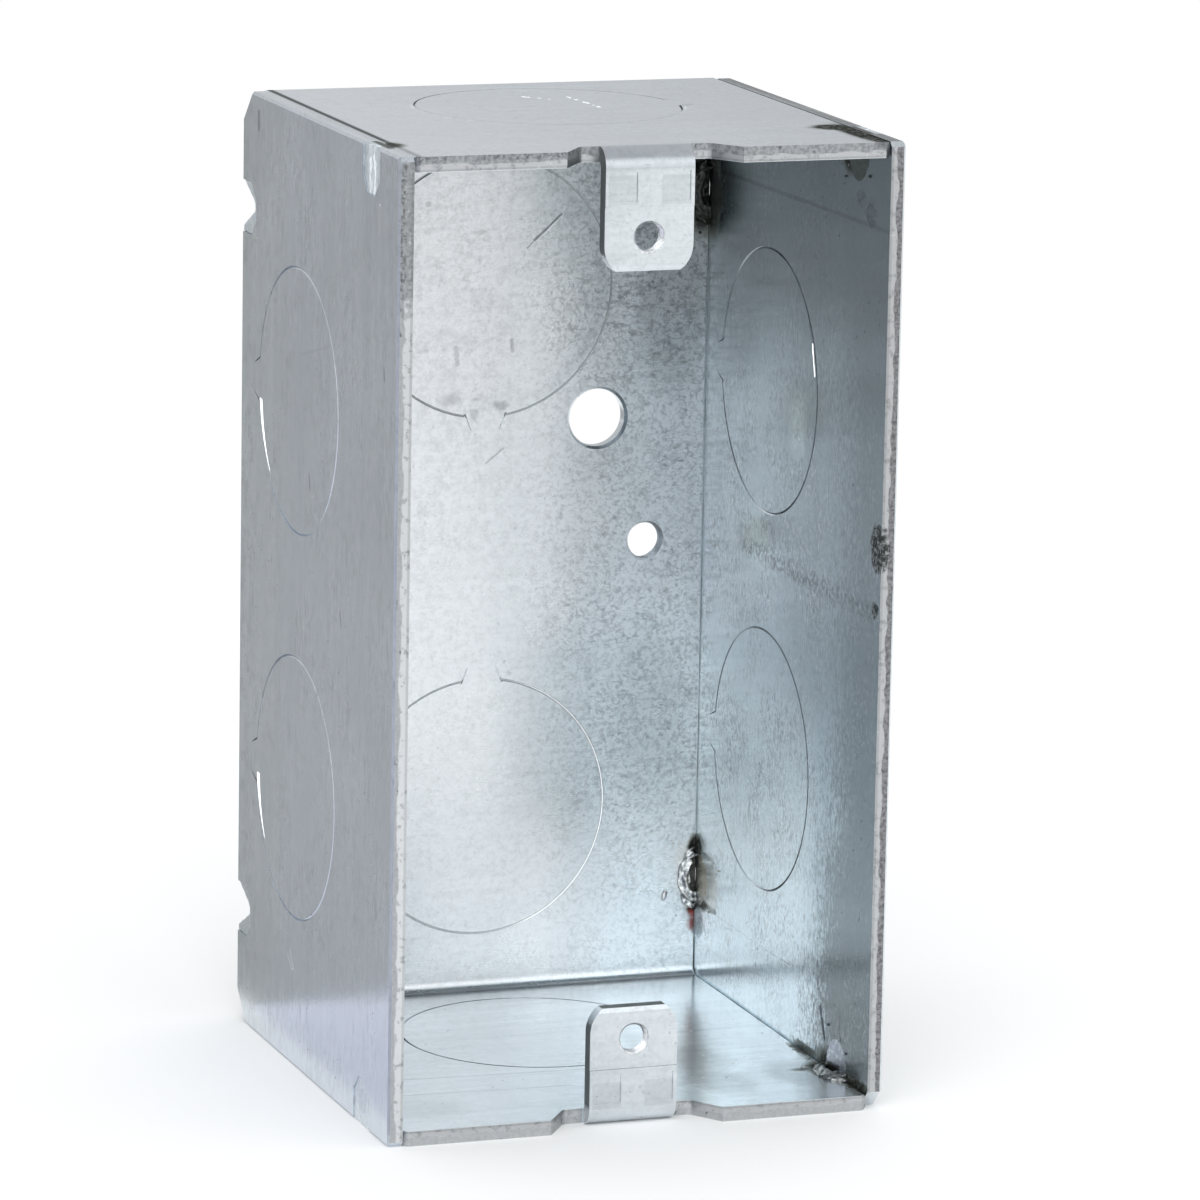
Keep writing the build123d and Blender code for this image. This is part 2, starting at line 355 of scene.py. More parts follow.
# %% Scatter the spatter
clear_selection()
bpy.ops.mesh.primitive_uv_sphere_add(segments=20, ring_count=12, radius=1)
drop = bpy.context.object
dents = bpy.data.textures.new("spatter_dents", "CLOUDS")
dents.noise_scale = 0.8
use_modifier(drop, "DISPLACE", texture=dents, texture_coords="LOCAL", strength=0.45, mid_level=0.5)
spatter_spots = [
    ((21.7, 25.3, 10.7), (0.28, 0.16, 0.62), 18),
    ((22.5, 25.34, 16.7), (0.2, 0.12, 0.2), 0),
    ((23.1, 25.34, 8.3), (0.13, 0.1, 0.13), 0),
    ((25.3, 20.9, 9.6), (0.1, 0.16, 0.13), 0),
    ((25.3, 18.2, 14.9), (0.1, 0.13, 0.12), 0),
    ((24.2, -16.1, 1.7), (0.34, 0.24, 0.18), 25),
    ((23.4, -17.4, 1.7), (0.2, 0.26, 0.12), 0),
    ((24.6, -19.3, 1.7), (0.26, 0.2, 0.16), 40),
    ((22.6, -15.2, 1.7), (0.13, 0.13, 0.1), 0),
    ((25.3, -15.4, 6.2), (0.12, 0.2, 0.16), 0),
    ((25.3, -20.6, 4.4), (0.1, 0.14, 0.14), 0),
    ((25.3, -14.6, 96.4), (0.1, 0.16, 0.14), 0),
    ((25.3, -21.2, 97.3), (0.1, 0.14, 0.2), 0),
    ((24.3, 25.3, 84.6), (0.18, 0.12, 0.16), 0),
]
beads = []
for place, radii, degrees in spatter_spots:
    bead = twin(drop)
    shape = Matrix.Diagonal((*radii, 1))
    turn = Matrix.Rotation(math.radians(degrees), 4, "Y")
    bead.data.transform(Matrix.Scale(MM, 4) @ Matrix.Translation(place) @ turn @ shape)
    beads.append(bead)
bpy.data.objects.remove(drop)
spatter = join_pieces("weld_spatter", beads)
shade_round(spatter)
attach(spatter, "root")
print("spatter beads", len(spatter_spots))

# %% [markdown]
# Shaders are wired by a few short helpers. Each adds one node, fills its sockets with
# values or links and gives back the output, so a finish reads like a recipe. A link knows
# the tree it belongs to, so a recipe need not name its tree. Places in a finish are in
# millimetres of the box's own frame.

# %% Helpers that wire shader nodes
def add_node(kind, inputs, tree=None, **settings):
    """Adds a node, sets its options, and fills its sockets with values or links."""
    links = [name for name, value in inputs.items() if isinstance(value, bpy.types.NodeSocket)]
    if tree is None:
        tree = inputs[links[0]].id_data
    node = tree.nodes.new("ShaderNode" + kind)
    for name, value in settings.items():
        setattr(node, name, value)
    for name, value in inputs.items():
        if name in links:
            tree.links.new(value, node.inputs[name])
        else:
            node.inputs[name].default_value = value
    return node


def maths(operation, first, second=0):
    """One operation on two numbers."""
    return add_node("Math", {0: first, 1: second}, operation=operation).outputs[0]


def vectors(operation, first, second=(0, 0, 0), output=0):
    """One operation on two vectors."""
    return add_node("VectorMath", {0: first, 1: second}, operation=operation).outputs[output]


def length(vector):
    """Length of a vector."""
    return vectors("LENGTH", vector, output="Value")


def dot(first, second):
    """Dot product of two vectors."""
    return vectors("DOT_PRODUCT", first, second, output="Value")


def chain(operation, values):
    """Joins several numbers, one after the other, by one operation."""
    result = values[0]
    for value in values[1:]:
        result = maths(operation, result, value)
    return result


def both(*masks):
    """Product of several masks or shares."""
    return chain("MULTIPLY", masks)


def either(*masks):
    """Largest of several masks."""
    return chain("MAXIMUM", masks)


def total(*values):
    """Sum of several numbers."""
    return chain("ADD", values)


def apart(first, second):
    """Distance between two numbers."""
    return maths("ABSOLUTE", maths("SUBTRACT", first, second))


def fade(value, start, end, low=0, high=1):
    """Goes smoothly from low to high while value goes from start to end."""
    sockets = {"Value": value, "From Min": start, "From Max": end, "To Min": low, "To Max": high}
    return add_node("MapRange", sockets, interpolation_type="SMOOTHSTEP").outputs["Result"]


def grain(place, size, stretch=(1, 1, 1), detail=3, roughness=0.55):
    """Noise from 0 to 1 whose lumps are about as large as size, in millimetres."""
    mapped = add_node("Mapping", {"Vector": place, "Scale": stretch}).outputs[0]
    sockets = {"Vector": mapped, "Scale": 1 / size, "Detail": detail, "Roughness": roughness}
    return add_node("TexNoise", sockets).outputs[0]


def tint(factor, first, second):
    """Blends two colours by a factor."""
    sockets = {"Factor": factor, 6: first, 7: second}
    return add_node("Mix", sockets, data_type="RGBA").outputs[2]


def turned(mask, normal, way):
    """Turns a normal towards a direction, where a burr stands up or a face lies flat."""
    sockets = {"Factor": mask, 4: normal, 5: way}
    return add_node("Mix", sockets, data_type="VECTOR").outputs[1]


# %% [markdown]
# Marks are drawn by their place on the box. A spot is a ball with three radii, a stroke is
# a straight scratch, and noise can push a place about first, so that the mark gets an
# uneven edge. Each helper gives a mask, which is 1 on the mark and 0 beside it.

# %% Helpers that mark places on a sheet
FORWARD, LEFTWARD, UPWARD = (0, -1, 0), (-1, 0, 0), (0, 0, 1)


def facing(normal, way, start=0.75, end=0.92):
    """1 on faces that look in a direction."""
    return fade(dot(normal, way), start, end)


def ragged(place, size, reach):
    """The same place, pushed about by noise of a size, as far as reach."""
    sockets = {"Vector": place, "Scale": 1 / size, "Detail": 3}
    noise = add_node("TexNoise", sockets).outputs["Color"]
    centred = vectors("SUBTRACT", noise, (0.5, 0.5, 0.5))
    return vectors("ADD", place, vectors("MULTIPLY", centred, [2 * reach] * 3))


def spot(place, centre, radii, soft=0.3):
    """1 inside a ball with three radii, 0 outside it."""
    sockets = {
        "Vector": place,
        "Scale": [1 / radius for radius in radii],
        "Location": [-c / radius for c, radius in zip(centre, radii)],
    }
    mapped = add_node("Mapping", sockets).outputs[0]
    return fade(length(mapped), 1 + soft, 1 - soft)


def spots(place, marks, soft):
    """Several spots at once, each with its own strength."""
    return either(*[both(spot(place, centre, radii, soft), share) for centre, radii, share in marks])


def stroke(place, start, end, width, soft=0.5):
    """1 along a straight scratch from start to end, 0 beside it."""
    start, end = Vector(start), Vector(end)
    along = end - start
    offset = vectors("SUBTRACT", place, start)
    share = maths("DIVIDE", dot(offset, along), along.length_squared)
    share = maths("MINIMUM", maths("MAXIMUM", share, 0), 1)
    step = add_node("CombineXYZ", {0: share, 1: share, 2: share}).outputs[0]
    rest = vectors("SUBTRACT", offset, vectors("MULTIPLY", step, along))
    half = width / 2
    return fade(length(rest), half * (1 + soft), half * (1 - soft))


def scratches(place, marks):
    """Several strokes at once, each with its own width and strength."""
    return either(*[both(stroke(place, start, end, width), share) for start, end, width, share in marks])


# %% [markdown]
# Every finish starts with a material and the place of a point, and ends with one metal
# shader. The gloss of rolled sheet spreads across its grain, so the shader gets the axis
# round which that spread turns. Heights in millimetres become a bump.

# %% Start and close a finish
METAL = 0.94


def start_material(name):
    """A new material, the place in millimetres, its three parts, and the normal."""
    material = bpy.data.materials.new(name)
    material.use_nodes = True
    material.node_tree.nodes.clear()
    source = add_node("TexCoord", {}, material.node_tree).outputs
    place = vectors("MULTIPLY", source["Object"], [1 / MM] * 3)
    parts = add_node("SeparateXYZ", {"Vector": place}).outputs
    return material, place, parts, source["Normal"]


def bump(height):
    """Turns a height in millimetres into a normal."""
    return add_node("Bump", {"Height": height, "Distance": MM, "Strength": 1}).outputs[0]


def finish_material(material, colour, roughness, normal, grain_axis, spread):
    """Closes a recipe with one metal shader."""
    across = add_node(
        "Tangent", {}, material.node_tree, direction_type="RADIAL", axis=grain_axis
    )
    sockets = {
        "Base Color": colour, "Roughness": roughness, "Normal": normal, "Metallic": METAL,
        "Anisotropic": spread, "Tangent": across.outputs[0],
    }
    shader = add_node("BsdfPrincipled", sockets)
    add_node("OutputMaterial", {"Surface": shader.outputs[0]})
    return material


# %% [markdown]
# Galvanised sheet is steel under a skin of zinc: a cool grey metal, satin rather than
# mirror bright. Its skin is cloudy over centimetres and pebbled below a millimetre, and
# the rolling mill leaves a fine grain. One recipe makes that skin, and each sheet gives
# it the direction of its grain and the depth of its pebbling.

# %% The zinc skin
ZINC_DARK = (0.63, 0.68, 0.71, 1)
ZINC_LIGHT = (0.76, 0.81, 0.84, 1)
PIT_AND_SHADE = (0.30, 0.32, 0.34, 1)
GRAIN_DEPTH = 0.004


def zinc_skin(place, stretch, pebble):
    """Colour, roughness and height of plain galvanised sheet."""
    cloud = grain(place, 14, detail=4)
    mottle = grain(place, 1.1, detail=4, roughness=0.62)
    lines = grain(place, 0.4, stretch, detail=3)
    streaks = grain(place, 2.2, stretch, detail=4, roughness=0.6)
    tone = total(both(cloud, 0.35), both(lines, 0.25), both(mottle, 0.2), both(streaks, 0.2))
    colour = tint(fade(tone, 0.36, 0.62), ZINC_DARK, ZINC_LIGHT)
    pits = both(fade(grain(place, 0.7, detail=2), 0.66, 0.76), fade(cloud, 0.35, 0.65, 0.15, 0.5))
    colour = tint(pits, colour, PIT_AND_SHADE)
    rough = total(fade(cloud, 0.3, 0.7, 0.15, 0.21), both(lines, 0.05), both(pits, 0.3))
    cells = grain(place, 0.4, detail=2, roughness=0.6)
    height = total(both(cells, pebble), both(lines, GRAIN_DEPTH))
    return colour, rough, height


# %% [markdown]
# Other colours are mixed into the zinc by place. They are few: bare and broken steel for
# the cut edges, soot and heat for the welds, dark for scratches, painted shade for seams
# and grooves, tints for the parts of a sheet that look cooler or warmer than the rest, and
# painted light and highlights where a sheet looks brighter than the rest.

# %% Colours that the sheets share
BURNISHED = (0.50, 0.51, 0.52, 1)
EDGE_PALE = (0.66, 0.68, 0.69, 1)
TORN_DARK = (0.25, 0.26, 0.27, 1)
TORN_LIGHT = (0.42, 0.44, 0.45, 1)
RIM_DARK = (0.14, 0.14, 0.145, 1)
RIM_LIGHT = (0.34, 0.34, 0.35, 1)
SOOT_AND_SHADE = (0.030, 0.032, 0.026, 1)
ASH_AND_SHADE = (0.15, 0.16, 0.15, 1)
OLIVE = (0.20, 0.21, 0.15, 1)
SHADE = (0.080, 0.092, 0.098, 1)
GREEN_SHADE = (0.072, 0.092, 0.094, 1)
WARM = (0.60, 0.555, 0.55, 1)
COOL = (0.70, 0.76, 1, 1)
TEAL = (0.51, 0.80, 0.91, 1)
STRAW = (0.66, 0.63, 0.54, 1)
PALE_GREEN = (0.80, 0.95, 0.93, 1)
LIT_TEAL = (0.86, 0.97, 1, 1)
BRIGHT = (0.93, 0.95, 0.97, 1)
RED = (0.52, 0.13, 0.11, 1)

# %% [markdown]
# A sheared edge has two bands: the blade burnishes the first part bright, then the rest
# breaks off grey and granular. The limit between the two wavers along the edge. The bands
# are too fine to model, so they are drawn across the thickness of the sheet.

# %% Sheared edges
def torn_metal(place, dark, light):
    """Colour of the granular band of a sheared edge."""
    coarse = grain(place, 0.45, detail=4, roughness=0.7)
    colour = tint(fade(coarse, 0.34, 0.62), dark, light)
    crumbs = fade(grain(place, 0.8, detail=3), 0.64, 0.72)
    return tint(both(crumbs, 0.7), colour, SHADE)


def sheared_edge(place, share, colour, rough, mask, limit, fresh, dark, light):
    """Mixes a two-band edge into a finish, with painted shade along its inner border: share runs from the
    burnished side to the torn.
    """
    wavy = total(share, fade(grain(place, 2.6, detail=4), 0.3, 0.7, -0.16, 0.16))
    torn = fade(wavy, limit - 0.07, limit + 0.07)
    sparks = fade(grain(place, 0.45, detail=2), 0.6, 0.7)
    fresh = tint(both(sparks, 0.5), fresh, BRIGHT)
    nicks = fade(grain(place, 0.9, detail=5, roughness=0.7), 0.52, 0.62)
    fresh = tint(both(nicks, 0.65), fresh, TORN_DARK)
    edge = tint(torn, fresh, torn_metal(place, dark, light))
    # Painted shade in a thin line along the edge's inner border.
    edge = tint(both(fade(share, 0.12, 0.04), 0.25), edge, SHADE)
    edge_rough = fade(torn, 0, 1, 0.34, 0.6)
    rough = total(both(rough, maths("SUBTRACT", 1, mask)), both(edge_rough, mask))
    return tint(mask, colour, edge), rough


# %% [markdown]
# Round a weld the zinc has burnt off. Smoke leaves an olive stain, and nearer the arc a
# black crust with a few bright grains in it. One recipe lays both over any finish, from a
# list of places.

# %% Soot
def sooty(place, colour, marks, *limits):
    """Lays soot over a finish, within limits where given, and gives back its mask too."""
    soot = both(spots(ragged(place, 1.4, 0.6), marks, 0.45), *limits)
    colour = tint(both(fade(soot, 0, 0.5), 0.5), colour, OLIVE)
    crust = tint(fade(grain(place, 0.5, detail=3), 0.42, 0.66), SOOT_AND_SHADE, ASH_AND_SHADE)
    sparks = fade(grain(place, 0.35, detail=2), 0.68, 0.76)
    crust = tint(both(sparks, 0.7), crust, BRIGHT)
    return tint(fade(soot, 0.35, 0.95), colour, crust), soot


# %% [markdown]
# Zinc freezes into small curled crystals, which show as light and dark hooks where the
# sheet reflects shade. A photograph of zinc could be laid over the box, but it would
# repeat. Here the hooks are the thin lines along which a noise crosses its middle value,
# kept only in patches and drawn in four sizes.

# %% Zinc crystals
CRYSTALS = [
    (0.7, (1, 1, 1), 0.6, SHADE), (0.9, (0.8, 1.1, 0.9), 0.8, BRIGHT),
    (1, (0.9, 1, 1.2), 0.8, SHADE), (1.8, (1.1, 0.9, 1), 0.6, SHADE),
]


def hooks(place, size, stretch):
    """Thin broken curls."""
    middle = maths("SUBTRACT", grain(place, size, stretch, detail=1), 0.5)
    turns = [1.3 * stretch[1], 1.2 * stretch[2], 1.4 * stretch[0]]
    broken = fade(grain(place, size, turns, detail=2), 0.46, 0.56)
    return both(fade(maths("ABSOLUTE", middle), 0.1, 0.02), broken)


def crystals(place, colour, strength, size=0.85):
    """Draws zinc crystals into a finish: light and dark hooks, large and small."""
    for scale, stretch, share, shade in CRYSTALS:
        curls = hooks(place, size * scale, stretch)
        colour = tint(both(curls, both(strength, share)), colour, shade)
    return colour


# %% [markdown]
# A knockout is a disc that the punch has sheared nearly all the way round. The packed
# model has the groove of the cut. Here its rim is drawn down by a hair with a bump, shade
# is painted into the groove, and where an edge has sprung, its normal is turned to the light.

# %% Knockouts
DISC_RADIUS = 14.1
SHEAR_LINE = 0.26
RIM_DEPTH = 0.015
SPRUNG_WAY = (-0.42, -0.86, 0.29)


def ring_distance(place, centre, way):
    """Distance from the axis of a knockout, in its own plane."""
    flat = [1 - abs(w) for w in way]
    return length(vectors("MULTIPLY", vectors("SUBTRACT", place, centre), flat))


def disc_rim(place, centre, way):
    """Depth in millimetres to which punching draws down the rim of a knockout."""
    reach = ring_distance(place, centre, way)
    inside = fade(reach, DISC_RADIUS - 1.6, DISC_RADIUS)
    outside = fade(reach, DISC_RADIUS + 3, DISC_RADIUS)
    return both(inside, outside, RIM_DEPTH)


def shear_line(place, centre, way):
    """1 down in the line that the punch has cut: way points into the sheet."""
    reach = ring_distance(place, centre, way)
    depth = dot(vectors("SUBTRACT", place, centre), way)
    return both(
        fade(reach, DISC_RADIUS - 0.15, DISC_RADIUS - 0.05),
        fade(reach, DISC_RADIUS + SHEAR_LINE + 0.1, DISC_RADIUS + SHEAR_LINE),
        fade(depth, 0.02, 0.07), fade(depth, 0.6, 0.5),
    )


# %% [markdown]
# The folded wrap has marks of its own: scratches, smudges beside the ties of the
# knockouts, painted shade on the right of the back wall, soot in the corners with welds,
# and nicks on its top painted as highlights. Each list gives the place and size of its
# marks, and the strength comes last.

# %% Places of the marks on the folded wrap
box_top, inner_back = TOP / MM, INNER_BACK / MM
front, side = FRONT / MM, INNER_SIDE / MM
HALF_WAY_UP = 50
BACK_DISC = 22.1
DISC_DEPTH = 6.3
WRAP_DISCS = [
    ((0, inner_back, box_top - BACK_DISC), (0, 1, 0)), ((0, inner_back, BACK_DISC), (0, 1, 0)),
    ((0, DISC_DEPTH, box_top), (0, 0, -1)), ((0, DISC_DEPTH, WALL), (0, 0, -1)),
]
WRAP_SCRATCHES = [
    ((5.4, inner_back, 84.4), (8.4, inner_back, 87.1), 0.28, 0.6),
    ((4.6, inner_back, 83.6), (5.4, inner_back, 84.4), 0.16, 0.4),
    ((-3.4, inner_back, 73), (-3.2, inner_back, 71.2), 0.5, 0.3),
    ((3, inner_back, 73.6), (3.1, inner_back, 72.4), 0.4, 0.3),
    ((0.2, inner_back, 60.2), (2.2, inner_back, 61.8), 0.22, 0.35),
    ((12.2, 2, WALL), (25.2, 2.6, WALL), 0.16, 0.2),
    ((-24, -8, WALL), (2, -9.4, WALL), 0.3, 0.3),
    ((-22, -14, WALL), (-3, -15, WALL), 0.3, 0.3),
    ((-25, 9, WALL), (-4, 8.2, WALL), 0.14, 0.18),
    ((8, -20, WALL), (23, -19.4, WALL), 0.12, 0.2),
]
WRAP_GLINTS = [
    ((4.4, 12.9, box_top), (5.1, 4.5, box_top), 0.5, 0.8),
    ((-0.9, 14.7, box_top), (1.9, 11.6, box_top), 0.5, 0.8),
    ((0.2, 20.3, box_top), (1.6, 18.1, box_top), 0.4, 0.7),
    ((-13.9, 1.4, box_top), (-13.6, -1.8, box_top), 0.5, 0.6),
    ((22.1, -20.7, WALL), (24.4, -21.8, WALL), 0.22, 0.9),
]
WRAP_SMUDGES_AND_SHADE = [
    ((-4, inner_back, 67.3), (1.2, 1, 0.7), 0.25), ((-1.2, inner_back, 65.6), (0.5, 1, 0.7), 0.3),
    ((1.7, inner_back, 66.5), (0.9, 1, 0.5), 0.35), ((-0.9, inner_back, 85.5), (0.7, 1, 0.3), 0.25),
    ((-6.6, inner_back, 88.6), (0.4, 1, 0.4), 0.3), ((13.4, -9, WALL), (3.2, 5.5, 1), 0.25),
    ((9.5, -4, WALL), (1.6, 8, 1), 0.18), ((-21, -19, WALL), (5, 4, 1), 0.15),
    ((12.8, -18, WALL), (3, 5, 1), 0.32), ((21.5, -17, WALL), (3, 5, 1), 0.3),
    # These two are painted shade on the right of the back wall.
    ((21.5, inner_back, 77), (4, 2, 9), 0.3), ((19, inner_back, 32), (4, 2, 9), 0.14),
]
WRAP_SOOT = [
    ((24.8, inner_back, 12.4), (1.1, 2, 3.4), 0.8), ((25.3, inner_back, 16.1), (1, 2, 1.2), 1),
    ((25.2, inner_back, 9.2), (0.8, 2, 0.8), 0.9), ((24.6, inner_back, 89.1), (3, 3, 4.6), 1),
    ((24.9, -16.6, WALL), (1.7, 3.2, 1), 1), ((23.4, -15.6, WALL), (1.9, 0.6, 1), 0.55),
    ((25.2, -21.6, WALL), (0.5, 6, 1), 0.9), ((25, -8.2, WALL), (0.5, 2.6, 1), 0.7),
    ((23.7, -15.2, box_top), (2.4, 2, 1), 1.1), ((24.9, -20.5, box_top), (1.7, 7, 1), 1.4),
    ((-24.8, -18.2, box_top), (1.1, 1.8, 1), 0.8), ((24.6, -18.5, box_top - WALL), (2.4, 4.5, 1), 0.85),
]

# %% [markdown]
# The three walls of the wrap were rolled as one sheet but do not look alike. The top is
# cool, with light painted on its left and shade painted on its right. The back wall is
# pebbled like leather, warm and crinkled to the left, and light is painted on its left,
# low down and half way up to the right. The bottom is rubbed in streaks along its width,
# with shade painted beside the fold.

# %% The wrap's three walls
def top_wall(x, on_top, colour):
    """Cool, with painted light to the left and painted shade to the right."""
    colour = tint(both(on_top, 0.15), colour, COOL)
    # Painted light on the left of the top, and painted shade on its right.
    colour = tint(both(on_top, fade(x, 5, -24, 0, 0.45)), colour, BRIGHT)
    return tint(both(on_top, fade(x, 5, 25, 0, 0.2)), colour, PIT_AND_SHADE)


def back_wall(place, x, z, colour):
    """Warm and crinkled to the left, with painted light on the left, low down and half way up to the
    right.
    """
    warm = both(fade(x, 9, 0), fade(z, 58, 72, 0.1, 0.3))
    colour = tint(warm, colour, WARM)
    # Painted light on the left of the back wall.
    pale = both(fade(x, 7, 0), fade(z, 30, 70, 0.45, 0.26))
    colour = tint(pale, colour, BRIGHT)
    # Painted light low down and half way up, to the right.
    foot = fade(z, 26, 14)
    waist = both(fade(z, 36, 46), fade(z, 90, 76))
    painted_light = either(foot, both(waist, 0.85))
    colour = tint(both(painted_light, fade(x, 0, 8)), colour, BRIGHT)
    crinkle = fade(grain(place, 1, detail=5, roughness=0.7), 0.44, 0.64)
    strength = both(fade(x, 10, 1), fade(z, 30, 75, 0.06, 0.2))
    return tint(both(crinkle, strength), colour, PIT_AND_SHADE)


def bottom_wall(place, x, y, colour):
    """Paler to the right, rubbed in streaks along its width, with painted shade beside the fold."""
    colour = tint(fade(x, 0, 15, 0, 0.6), colour, BRIGHT)
    colour = tint(fade(x, 10, -5, 0, 0.2), colour, PIT_AND_SHADE)
    rubbed = fade(grain(place, 1.5, (0.06, 1, 1), detail=5, roughness=0.65), 0.42, 0.66)
    colour = tint(both(rubbed, 0.16), colour, PIT_AND_SHADE)
    # Painted shade beside the fold.
    return tint(fade(y, 15, 24, 0, 0.6), colour, PIT_AND_SHADE)


def wrap_crystals(place, x, z, on_back, colour):
    """Crystals, which show most on the right of the back wall."""
    spangled = both(
        fade(x, 2, 16, 0.09, 0.38), fade(z, 10, 30, 0.6, 1), fade(z, 66, 76, 1, 1.4)
    )
    show = either(both(on_back, spangled), 0.1)
    patchy = fade(grain(place, 5, detail=3), 0.3, 0.7, 0.6, 1.1)
    return crystals(place, colour, both(show, patchy))


# %% [markdown]
# The two ears that hold the device are dulled by handling, each with two square punch
# marks, and shade is painted on their folds and cut sides. Beside each ear the front edge
# is sheared at a slant, and to the left of the upper ear that cut is crumbly.

# %% The wrap's ears and cut edges
EAR_SPAN = 5.1
EAR_REACH = 4
PUNCH_ROWS = [(95.7, 98.9), (1.8, 4.75)]
CRUMBLY_ENDS = [((-13, front, box_top), (6, 4, 4)), ((-25, front, box_top), (3, 4, 4))]


def ear_marks(normal, width, y, z, colour):
    """Dulls the ears' faces and punch marks, and paints shade on their folds and cut sides."""
    on_ear = both(fade(y, front + EAR_REACH, front + 3.4), fade(width, EAR_SPAN + 0.3, EAR_SPAN))
    rows = either(*[both(fade(z, low, low + 0.2), fade(z, high, high - 0.2)) for low, high in PUNCH_ROWS])
    punched = both(on_ear, fade(width, 1.2, 1.3), fade(width, 4.5, 4.4), rows)
    fold = both(on_ear, fade(z, box_top - 2.6, box_top - 1.8))
    sides = both(on_ear, facing(normal, LEFTWARD), fade(width, 4.5, 4.7), fade(z, 1.7, 2.4))
    tips = both(on_ear, facing(normal, UPWARD), fade(z, 4, 6), fade(z, 60, HALF_WAY_UP))
    cut = either(sides, tips)
    # The fold and the cut sides get painted shade.
    for mask, strength, shade in (
        (on_ear, 0.1, PIT_AND_SHADE), (punched, 0.2, PIT_AND_SHADE), (fold, 0.35, PIT_AND_SHADE), (cut, 0.85, ASH_AND_SHADE)
    ):
        colour = tint(both(mask, strength), colour, shade)
    return colour, punched, cut


def wrap_edges(place, normal, width, y, z, colour, rough):
    """The sheared front edges, and the slanted cuts beside each ear."""
    under_top = box_top - WALL
    upright = fade(maths("ABSOLUTE", dot(normal, UPWARD)), 0.6, 0.3)
    in_sheet = either(fade(z, under_top, under_top + 0.1), fade(z, WALL, WALL - 0.1))
    beside_ear = fade(width, EAR_SPAN - 0.3, EAR_SPAN - 0.1)
    at_edge = both(upright, in_sheet, fade(y, front + 4.2, front + 3.8), beside_ear)
    share = either(fade(z, under_top, box_top), fade(z, WALL, 0))
    at_foot = fade(z, 60, 40)
    dark = tint(at_foot, TORN_DARK, TORN_LIGHT)
    light = tint(at_foot, TORN_LIGHT, BURNISHED)
    colour, rough = sheared_edge(place, share, colour, rough, at_edge, 0.45, BURNISHED, dark, light)
    crumbly = either(*[spot(place, centre, radii) for centre, radii in CRUMBLY_ENDS])
    crumbs = both(
        at_edge, fade(z, box_top - 0.75, box_top - 0.35), crumbly,
        fade(grain(place, 0.5, detail=5, roughness=0.75), 0.44, 0.6),
    )
    return tint(both(crumbs, 0.7), colour, SHADE), rough


# %% [markdown]
# Scratches, smudges, painted shade, soot and a dab of red paint low in one corner lie over
# the zinc. Then come the lines of the knockouts, painted with shade. Their lips are painted
# as highlights, which show only in part, so a sparse noise breaks them up.

# %% The wrap's marks and knockouts
RED_DAB = ((24.95, inner_back, 8.6), (25.1, inner_back, 6.8))
LOW_BACK_DISC, TOP_DISC = WRAP_DISCS[1], WRAP_DISCS[2]


def wrap_marks(place, colour):
    """Scratches, smudges and painted shade, soot and paint, with the masks of scratches and soot."""
    marks = scratches(ragged(place, 2, 0.12), WRAP_SCRATCHES)
    colour = tint(marks, colour, SHADE)
    # Smudges, and painted shade on the right of the back wall.
    colour = tint(spots(ragged(place, 1.4, 0.55), WRAP_SMUDGES_AND_SHADE, 0.4), colour, SHADE)
    colour, soot = sooty(place, colour, WRAP_SOOT)
    red = stroke(ragged(place, 0.9, 0.5), *RED_DAB, width=0.8, soft=0.8)
    patchy = fade(grain(place, 0.7, detail=2), 0.35, 0.6, 0.3, 0.9)
    return tint(both(red, patchy), colour, RED), marks, soot


def wrap_knockouts(place, x, z, width, near_back, on_top, colour):
    """Shear lines painted with shade and lips painted with highlights, with the masks of both."""
    lines = either(*[shear_line(place, *disc) for disc in WRAP_DISCS])
    # Painted shade in the shear lines.
    colour = tint(both(lines, fade(z, 40, 60, 0.48, 0.66)), colour, SHADE)
    sparse = fade(grain(place, 1.2, detail=3), 0.4, 0.56)
    low_lip = both(
        lines, near_back, fade(x, 2.5, 6), fade(z, 60, HALF_WAY_UP),
        fade(ring_distance(place, *LOW_BACK_DISC), DISC_RADIUS + 0.1, DISC_RADIUS + 0.16),
    )
    off_rim = apart(ring_distance(place, *TOP_DISC), DISC_RADIUS + 0.3)
    top_lip = both(
        on_top, fade(off_rim, 0.2, 0.1), fade(width, 8, 12, 0, 0.7),
        fade(grain(place, 2, detail=4), 0.42, 0.54),
    )
    glints = scratches(ragged(place, 1, 0.3), WRAP_GLINTS)
    # Painted highlights on the lips and the nicks.
    lit = either(both(low_lip, 0.55), both(sparse, either(top_lip, glints)))
    return tint(lit, colour, BRIGHT), lines, lit


# %% [markdown]
# Now the wrap's recipe is put together, from the skin up. Shade is painted, dark and
# broken, into the seam to the side plates and into the gap beside the left plate on top.
# Soot, cut edges and the fold at the back are rougher than clean zinc. The bump holds the
# pebbles, the rims, the scratches and the lumps of soot on top.

# %% Finish of the folded wrap
WRAP_GRAIN = (0.05, 1, 1)
SCRATCH_DEPTH = 0.02
SOOT_LUMP = 0.12


def wrap_seams(place, x, y, z, width, on_top, colour):
    """Painted shade in the seams to the side plates and in the gap on top, with their masks."""
    seam = fade(width, side - 0.14, side - 0.05)
    patchy = fade(grain(place, 4, detail=3), 0.35, 0.6, 0.5, 1)
    broken = both(patchy, fade(z, 9, 20, 1, 0.5))
    gap = both(on_top, fade(x, 1.1 - side, 0.7 - side), fade(y, -22, -14, 0.5, 1))
    # Painted shade along the seams and in the gap.
    return tint(either(both(seam, broken), both(gap, 0.85)), colour, SOOT_AND_SHADE), seam, gap


